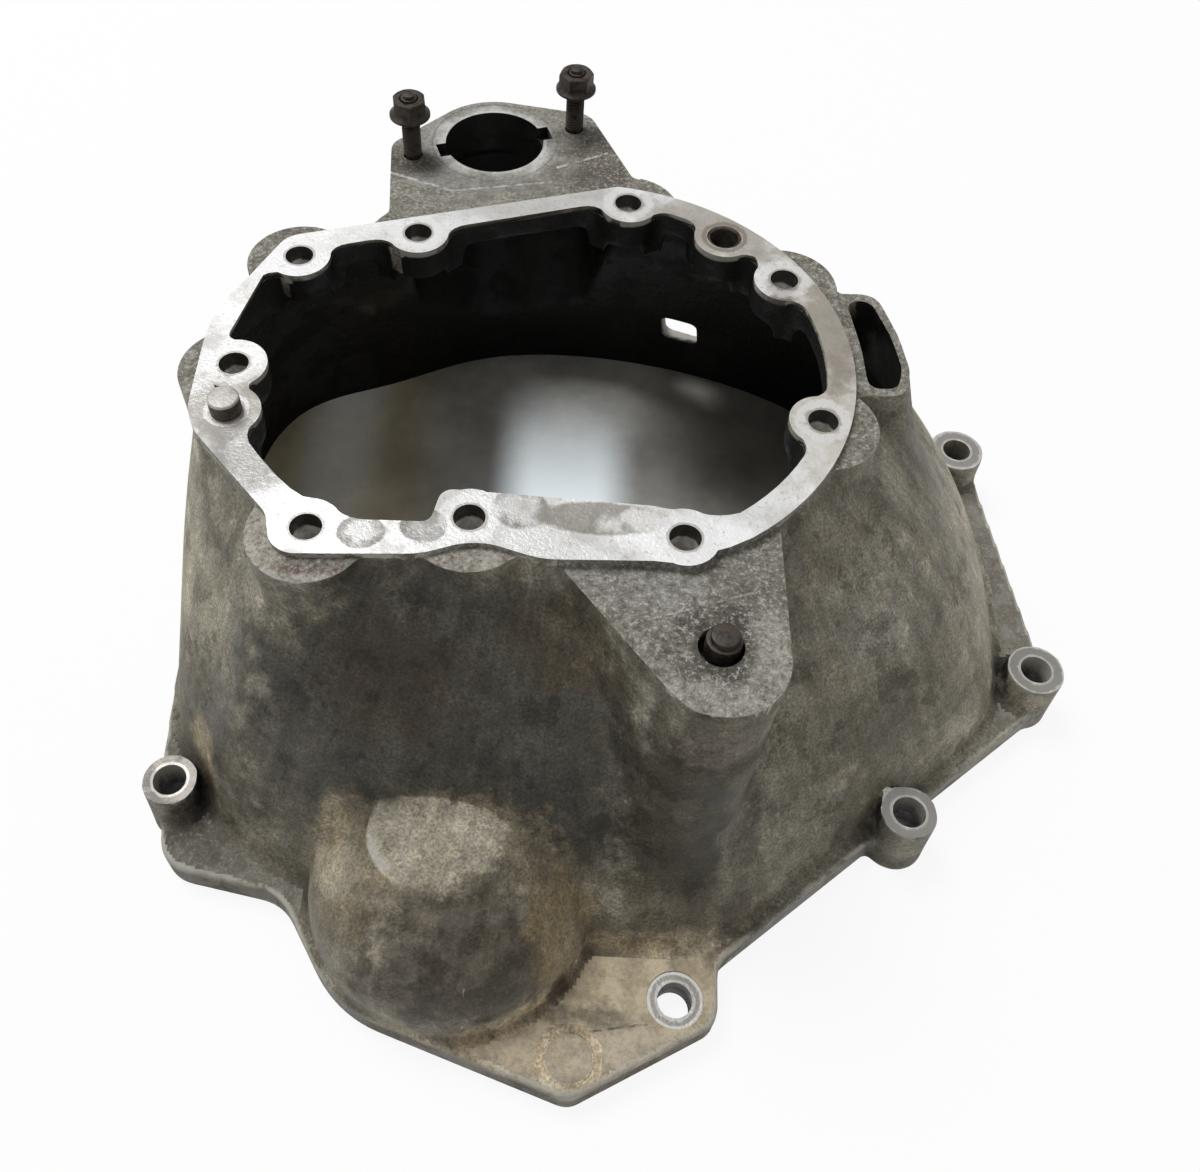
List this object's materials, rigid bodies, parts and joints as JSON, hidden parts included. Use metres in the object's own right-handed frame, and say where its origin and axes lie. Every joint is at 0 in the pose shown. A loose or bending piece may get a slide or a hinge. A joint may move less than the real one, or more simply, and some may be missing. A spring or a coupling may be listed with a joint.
{
  "type": "transmission bell housing",
  "caption": "Cast bell-shaped clutch housing with a machined gearbox face, lugged engine flange, starter dome, release cylinder pad with studs, and fork pivot pad.",
  "frame": {"origin": "point on the input shaft's axis at the engine face", "axes": "+Z along the input shaft from the engine to the gearbox face, +Y towards the release cylinder's pad, +X towards the vent slot"},
  "size_m": [0.3892, 0.4199, 0.171],
  "materials": {
    "cast": "rough cast, oily and stained, with bright machined faces",
    "steel": "dark brown rust and old oil",
    "pin_steel": "worn steel with brown stains"
  },
  "bodies": {
    "root": {"bell_housing": "cast", "clutch_stud_left": "steel", "clutch_nut_left": "steel", "clutch_stud_right": "steel", "clutch_nut_right": "steel", "locating_pin": "pin_steel", "dowel_sleeve": "steel", "fork_pivot": "steel"}
  },
  "joints": []
}
